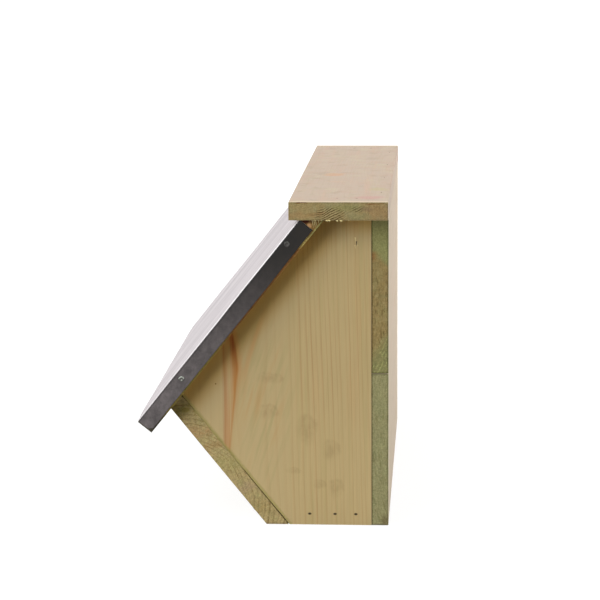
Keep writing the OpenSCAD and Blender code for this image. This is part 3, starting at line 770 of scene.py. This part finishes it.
def ring_faces(base, rings, steps):
    """The faces between closed rings of points, which follow each other from the point base on."""
    faces = []
    for ring in range(rings - 1):
        for step in range(steps):
            a, b = base + ring * steps + step, base + ring * steps + (step + 1) % steps
            faces.append((a, b, b + steps, a + steps))
    return faces


def sheet_section(half_width, flange_low, lift):
    """Points (x, out, normal x, normal out) of the sheet's outer line, from flange to flange."""
    radius = SHEET_FOLD_RADIUS
    flange_steps, fold_steps, face_steps = 6, 6, 30
    face = SHEET_FACE + lift
    top = face - radius
    right = [(half_width, flange_low + (top - flange_low) * step / flange_steps, 1, 0)
             for step in range(flange_steps)]
    for step in range(fold_steps):
        turn = math.pi / 2 * step / fold_steps
        right.append((half_width - radius + radius * math.cos(turn),
                      top + radius * math.sin(turn), math.cos(turn), math.sin(turn)))
    right += [((half_width - radius) * (1 - step / face_steps), face, 0, 1) for step in range(face_steps)]
    left = [(-x, out, -nx, nout) for x, out, nx, nout in reversed(right)]
    return right + [(0, face, 0, 1)] + left


def soft_noise(x, y, z):
    """Smooth noise from 0 to 1."""
    return noise.noise(Vector((x, y, z))) * 0.5 + 0.5


def ramp(value, start, length):
    """0 up to the start, rising to 1 over the length."""
    return min(1, max(0, (value - start) / length))


def sheet_lift(share):
    """How far the sheet and its fold stand off the board at a share of the way up."""
    return (ramp(share, 0.05, 0.15) * 0.3 + ramp(share, 0.5, 0.15) * 0.5 + ramp(share, 0.82, 0.08) * 0.1) * MM


def sheet_proud_by(x, up, out, nx):
    """How far the sheet stands proud of its flat place: waves on the face, dents in the flanges."""
    flattened_by_fold, ring_radius, ring_width = 0.03, 3.6 * MM, 1 * MM
    near_fold = min(1, (SHEET_HIGH[0] - abs(x)) / flattened_by_fold)
    wave = soft_noise(x * 9, up * 16, 4)
    ripple = soft_noise(x * 40, up * 55, 9)
    bulge = math.sin(math.pi * (up - SHEET_LOW[1]) / (SHEET_HIGH[1] - SHEET_LOW[1])) ** 2
    proud = (1 - abs(nx)) * near_fold * (wave * 0.7 + ripple * 0.12 + bulge * 0.5) * MM
    proud += abs(nx) * soft_noise(up * 60, out * 90, x * 3) * 0.15 * MM
    for nail_x, nail_up, nail_out in SHEET_NAILS:
        if nail_x * x > 0 and abs(nx) > 0.9:
            away = math.hypot(up - nail_up, out - nail_out)
            proud += 0.16 * MM * math.exp(-((away - ring_radius) / ring_width) ** 2)
    return proud


def roof_cover():
    """The zinc sheet, a little wavy, dished at the nails and clipped at its lower corners."""
    clip_rows, more_rows = 4, 64
    length = SHEET_HIGH[1] - SHEET_LOW[1]
    rows = [SHEET_CORNER_CLIP * row / clip_rows for row in range(clip_rows)]
    rest = length - SHEET_CORNER_CLIP
    rows += [SHEET_CORNER_CLIP + rest * row / more_rows for row in range(more_rows + 1)]
    points = []
    for row in rows:
        clip = max(0, SHEET_CORNER_CLIP - row)
        short = max(0, row / length - 0.72) * 3.2 * MM
        section = sheet_section(SHEET_HIGH[0], SHEET_LOW[2] + clip + short, sheet_lift(row / length))
        up = SHEET_LOW[1] + row
        layers = [[], []]
        for x, out, nx, nout in section:
            proud = sheet_proud_by(x, up, out, nx)
            for layer, depth in zip(layers, (0, SHEET_THICKNESS)):
                across = x + nx * (proud - depth)
                outward = out + nout * (proud - depth)
                layer.append(Vector((across, 0, 0)) + UP_ROOF * up + OUT_OF_ROOF * outward)
        points += layers[0] + layers[1][::-1]
    steps = len(points) // len(rows)
    faces = ring_faces(0, len(rows), steps)
    for first in (0, len(points) - steps):
        for step in range(steps // 2 - 1):
            a, b = first + step, first + steps - 1 - step
            faces.append((a, a + 1, b - 1, b))
    cover = mesh_object("folded_zinc_cover", points, faces, FINISHES["zinc"], 50)
    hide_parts("roof_sheet")


# Half outline of a driven nail in millimetres: radius, and height over the flange
NAIL_OUTLINE = [(0, -20), (0.6, -19.2), (1, -17.5), (1, 0), (2.2, 0.05), (2.45, 0.3), (2.3, 0.5),
                (1.9, 0.6), (1.5, 0.45), (1, 0.25), (0.5, 0.2), (0, 0.2)]


def dished_nails():
    """The nails that hold the sheet, with heads dished by the hammer."""
    steps, head_radius = 28, 2.3
    points, faces = [], []
    for place, (x, up, out) in enumerate(SHEET_NAILS):
        outward = Vector((math.copysign(1, x), 0, 0))
        seat = Vector((x, 0, 0)) + UP_ROOF * up + OUT_OF_ROOF * out
        base = len(points)
        for radius, height in NAIL_OUTLINE:
            for step in range(steps):
                turn = 2 * math.pi * step / steps
                worn = 1 + 0.05 * math.sin(3 * turn + place) + 0.04 * math.sin(5 * turn + 2 * place)
                tilt = 0.12 * math.sin(turn + place) * (radius / head_radius) if height > 0.2 else 0
                spoke = (UP_ROOF * math.cos(turn) + OUT_OF_ROOF * math.sin(turn)) * radius * worn
                points.append(seat + (outward * (height + tilt) + spoke) * MM)
        faces += ring_faces(base, len(NAIL_OUTLINE), steps)
    nails = mesh_object("dished_sheet_nails", points, faces, FINISHES["nail"], 60)
    weld(nails)
    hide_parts("left_sheet_nails", "right_sheet_nails")


def weld(part):
    part.modifiers.new("weld", "WELD").merge_threshold = 1e-6


def sliver(root, tip, width, thickness, bend, facing):
    """Points and faces of a torn fibre: a thin blade that tapers and bends from root to tip."""
    steps = 5
    along = tip - root
    across = along.cross(facing).normalized()
    points = []
    for step in range(steps):
        share = step / steps
        middle = root + along * share + facing * (bend * share * share)
        half = width / 2 * (1 - share * 0.8)
        thick = thickness / 2 * (1 - share * 0.6)
        for side, level in ((-1, -1), (1, -1), (1, 1), (-1, 1)):
            points.append(middle + across * half * side + facing * thick * level)
    points.append(root + along + facing * bend)
    faces = [(3, 2, 1, 0)] + ring_faces(0, steps, 4)
    last = (steps - 1) * 4
    for side in range(4):
        faces.append((last + side, last + (side + 1) % 4, len(points) - 1))
    return points, faces


def fibre_piece(name, slivers, material):
    """One piece on the box, made of slivers."""
    points, faces = [], []
    for more_points, more_faces in slivers:
        base = len(points)
        points += more_points
        faces += [tuple(index + base for index in face) for face in more_faces]
    mesh_object(name, points, faces, material, 60)


def torn_fibres():
    """Tufts that the saw tore at the lower edge of the top board's end."""
    pick = random.Random(7)
    end, eaves = TOP_BOARD_END_X / MM, EAVES_Z / MM
    tufts = [(56.4, 3, 0.6), (51.6, 4, 1), (50.6, 4, 1.3), (49.4, 4, 1.2),
             (42.7, 5, 1.1), (39.8, 5, 1.2), (61, 3, 0.6), (33, 2, 0.5)]
    slivers = []
    for middle, count, size in tufts:
        for _ in range(count):
            d = middle + pick.uniform(-0.6, 0.6)
            root = at(end - pick.uniform(0, 0.5), d, eaves + pick.uniform(0.1, 0.5))
            aside = Vector((pick.uniform(0.2, 0.8), pick.uniform(-0.5, 0.5), -pick.uniform(0.6, 1.2)))
            facing = Vector((1, pick.uniform(-0.3, 0.3), 0.2)).normalized()
            slivers.append(sliver(root, root + aside * size * MM, pick.uniform(0.7, 1.1) * size * MM,
                                  0.35 * MM, pick.uniform(0.1, 0.5) * MM, facing))
    fibre_piece("torn_fibres", slivers, FINISHES["splinter"])


def roof_end_splinters():
    """Pale splinters on the end of the roof board, between the zinc and the top board."""
    pick = random.Random(11)
    slivers = []
    for root_d, lean, length in ((64.2, 1.3, 6.8), (62.8, 1.4, 6.4), (61.4, 1.3, 5.4), (58.9, 0.9, 4.5)):
        root = at(ROOF_BOARD_END_X / MM + 0.02, root_d, 270.4)
        drop = Vector((0.05, lean, -length)) * MM
        slivers.append(sliver(root, root + drop, pick.uniform(0.55, 0.7) * MM, 0.15 * MM,
                              pick.uniform(0.15, 0.3) * MM, Vector((1, 0, 0))))
    fibre_piece("roof_end_splinters", slivers, FINISHES["splinter"])


def nail_breakout():
    """Where a brad from the top board shows through the side panel: torn wood and bright steel."""
    face = SIDE_X / MM
    outward = Vector((1, 0, 0))
    lip = [((28.3, 253.6), (28, 248.6), 1.1), ((26.2, 246), (26.6, 250.4), 0.9),
           ((28.6, 247), (28.1, 243.6), 0.7)]
    slivers = [sliver(at(face - 0.05, *root), at(face + 0.1, *tip), width * MM, 0.3 * MM, 0.4 * MM, outward)
               for root, tip, width in lip]
    fibre_piece("breakout_splinters", slivers, FINISHES["splinter"])
    steel = sliver(at(face - 0.02, 27.2, 250.2), at(face + 0.05, 27.1, 246.4), 1 * MM, 0.3 * MM,
                   0.1 * MM, outward)
    fibre_piece("breakout_brad", [steel], FINISHES["brad"])


def edge_fuzz():
    """Pale fibres that the planer left along the upper half of the side panel's sloping edge."""
    pick = random.Random(19)
    down = Vector((0, math.cos(PANEL_SLOPE), -math.sin(PANEL_SLOPE)))
    inward = Vector((0, math.sin(PANEL_SLOPE), math.cos(PANEL_SLOPE)))
    facing = Vector((1, 0, 0))

    def on_edge(z, proud, inset):
        d = PANEL_FOOT_D / MM + z / math.tan(PANEL_SLOPE)
        return at(SIDE_X / MM + proud, d, z) + inward * inset * MM

    slivers = []
    top = 101
    while top > 52:
        root = on_edge(top + pick.uniform(-1, 1), 0.12, -pick.uniform(0.1, 0.3))
        slivers.append(sliver(root, root + down * pick.uniform(6, 9) * MM,
                              pick.uniform(0.6, 0.9) * MM, 0.15 * MM, 0.03 * MM, facing))
        top -= pick.uniform(3.5, 5)
    for _ in range(9):
        root = on_edge(pick.uniform(40, 92), 0.1, 0.3)
        tip = root + (inward * pick.uniform(0.6, 1.6) - down * pick.uniform(-1, 2)) * MM
        slivers.append(sliver(root, tip, 0.6 * MM, 0.15 * MM, 0.1 * MM, facing))
    fibre_piece("edge_fuzz", slivers, FINISHES["fuzz"])


def ease_edges(part):
    """Rounds a board's arrises a little, in a modifier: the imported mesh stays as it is."""
    weld(part)
    arris = part.modifiers.new("arris", "BEVEL")
    arris.width = ARRIS
    arris.segments = 2
    arris.limit_method = "ANGLE"
    arris.angle_limit = math.radians(45)


# Studio

def add_camera():
    """The photograph's own view: its place, turn and lens were worked out from the box's corners."""
    azimuth, elevation, roll = (math.radians(angle) for angle in (93.808, 10.589, -0.396))
    focal_px, frame_px, sensor = 2120.4, 600, 36
    back = Vector((math.sin(azimuth) * math.cos(elevation),
                   -math.cos(azimuth) * math.cos(elevation), math.sin(elevation)))
    turn = back.to_track_quat("Z", "Y").to_matrix().to_4x4() @ Matrix.Rotation(roll, 4, "Z")
    lens = bpy.data.cameras.new("camera")
    lens.sensor_width = sensor
    lens.lens = focal_px * sensor / frame_px
    lens.clip_end = 100
    SCENE.camera = new_object("camera", lens)
    SCENE.camera.matrix_world = Matrix.Translation((1.9745, 0.1506, 0.5326)) @ turn


def add_lamp(name, place, size, power):
    """A round lamp that is aimed at the middle of the box."""
    aim = Vector((0, 0, 0.15))
    light = bpy.data.lights.new(name, "AREA")
    light.shape = "DISK"
    light.size = size
    light.energy = power
    lamp = new_object(name, light)
    lamp.location = place
    lamp.rotation_euler = (Vector(place) - aim).to_track_quat("Z", "Y").to_euler()
    lamp.visible_camera = False


def seen_white(graph):
    """1 for the rays that show the background itself, straight, in gloss or through glass."""
    rays = graph.node("ShaderNodeLightPath").outputs
    return graph.math("MAXIMUM", rays["Is Camera Ray"], rays["Is Glossy Ray"], rays["Is Transmission Ray"])


def add_world(camera_side, far_side):
    """A white room to the eye and in gloss. It lights the object less from the camera's side."""
    SCENE.world = bpy.data.worlds.new("studio")
    SCENE.world.use_nodes = True
    graph = Graph(SCENE.world.node_tree)
    white = (1, 1, 1, 1)
    direction = graph.split(graph.node("ShaderNodeTexCoord").outputs["Generated"])
    strength = graph.remap(direction["X"], -0.3, 0.35, far_side, camera_side, smooth=False)
    fill = graph.node("ShaderNodeBackground", white, strength)
    room = graph.node("ShaderNodeBackground", white, 1)
    both = graph.node("ShaderNodeMixShader", seen_white(graph), fill.outputs[0], room.outputs[0])
    graph.node("ShaderNodeOutputWorld", both.outputs[0])


def add_floor(glow):
    """A white floor that shows the shadow; what the lamps leave under white is made up to the eye."""
    material = bpy.data.materials.new("white_floor")
    material.use_nodes = True
    graph = Graph(material.node_tree)
    seen = seen_white(graph)
    paint = graph.node("ShaderNodeBsdfDiffuse", graph.remap(seen, 0, 1, 0.3, 0.22, smooth=False))
    away = graph.vector("LENGTH", graph.node("ShaderNodeNewGeometry").outputs["Position"], result="Value")
    strength = graph.times(seen, graph.remap(away, 0.4, 1.6, glow, 1, smooth=False))
    light = graph.node("ShaderNodeEmission", Strength=strength)
    both = graph.node("ShaderNodeAddShader", paint.outputs[0], light.outputs[0])
    graph.node("ShaderNodeOutputMaterial", both.outputs[0])
    mesh = bpy.data.meshes.new("floor")
    edge = 20
    corners = [(-edge, -edge, 0), (edge, -edge, 0), (edge, edge, 0), (-edge, edge, 0)]
    mesh.from_pydata(corners, [], [(0, 1, 2, 3)])
    mesh.materials.append(material)
    floor = new_object("floor", mesh)
    floor.location.z = -0.3 * MM


def give(part, material):
    """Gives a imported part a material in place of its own."""
    part.data.materials.clear()
    part.data.materials.append(material)


add_camera()
add_world(camera_side=0.04, far_side=0.8)
add_floor(glow=0.84)
add_lamp("key_softbox", (2.55, -3.7, 2.35), size=5.2, power=328)
add_lamp("overhead_softbox", (1.1, -0.35, 2.1), size=2.2, power=17)
add_lamp("rear_softbox", (-0.7, 1.5, 0.6), size=1.4, power=23)
SCENE.view_settings.view_transform = "Standard"

FINISHES = {
    "zinc": zinc_finish(),
    "hinge": steel_finish("zinc_plated_steel", (200, 198, 190), (170, 168, 160), 0.32),
    "nail": nail_finish(),
    "brad": steel_finish("dull_brads", (74, 68, 56), (48, 42, 34), 0.55),
    "splinter": wood_finish("torn_pine", Wood(
        "Z", (0, 0), 2 * MM, 3, (222, 208, 150), (200, 182, 120), (214, 202, 144), (190, 172, 112))),
    "fuzz": wood_finish("green_fibres", Wood(
        "Z", (0, 0), 2 * MM, 4, (160, 148, 92), (140, 126, 70), (160, 148, 92), (140, 126, 70))),
}
for name, part in NODES.items():
    if name in WOODS:
        give(part, wood_finish("pine_" + name, WOODS[name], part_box(name)))
        ease_edges(part)
    elif "hinge" in name or "lock" in name:
        give(part, FINISHES["hinge"])
    elif "brads" in name or "nails" in name:
        give(part, FINISHES["brad"])

roof_cover()
dished_nails()
torn_fibres()
roof_end_splinters()
nail_breakout()
edge_fuzz()
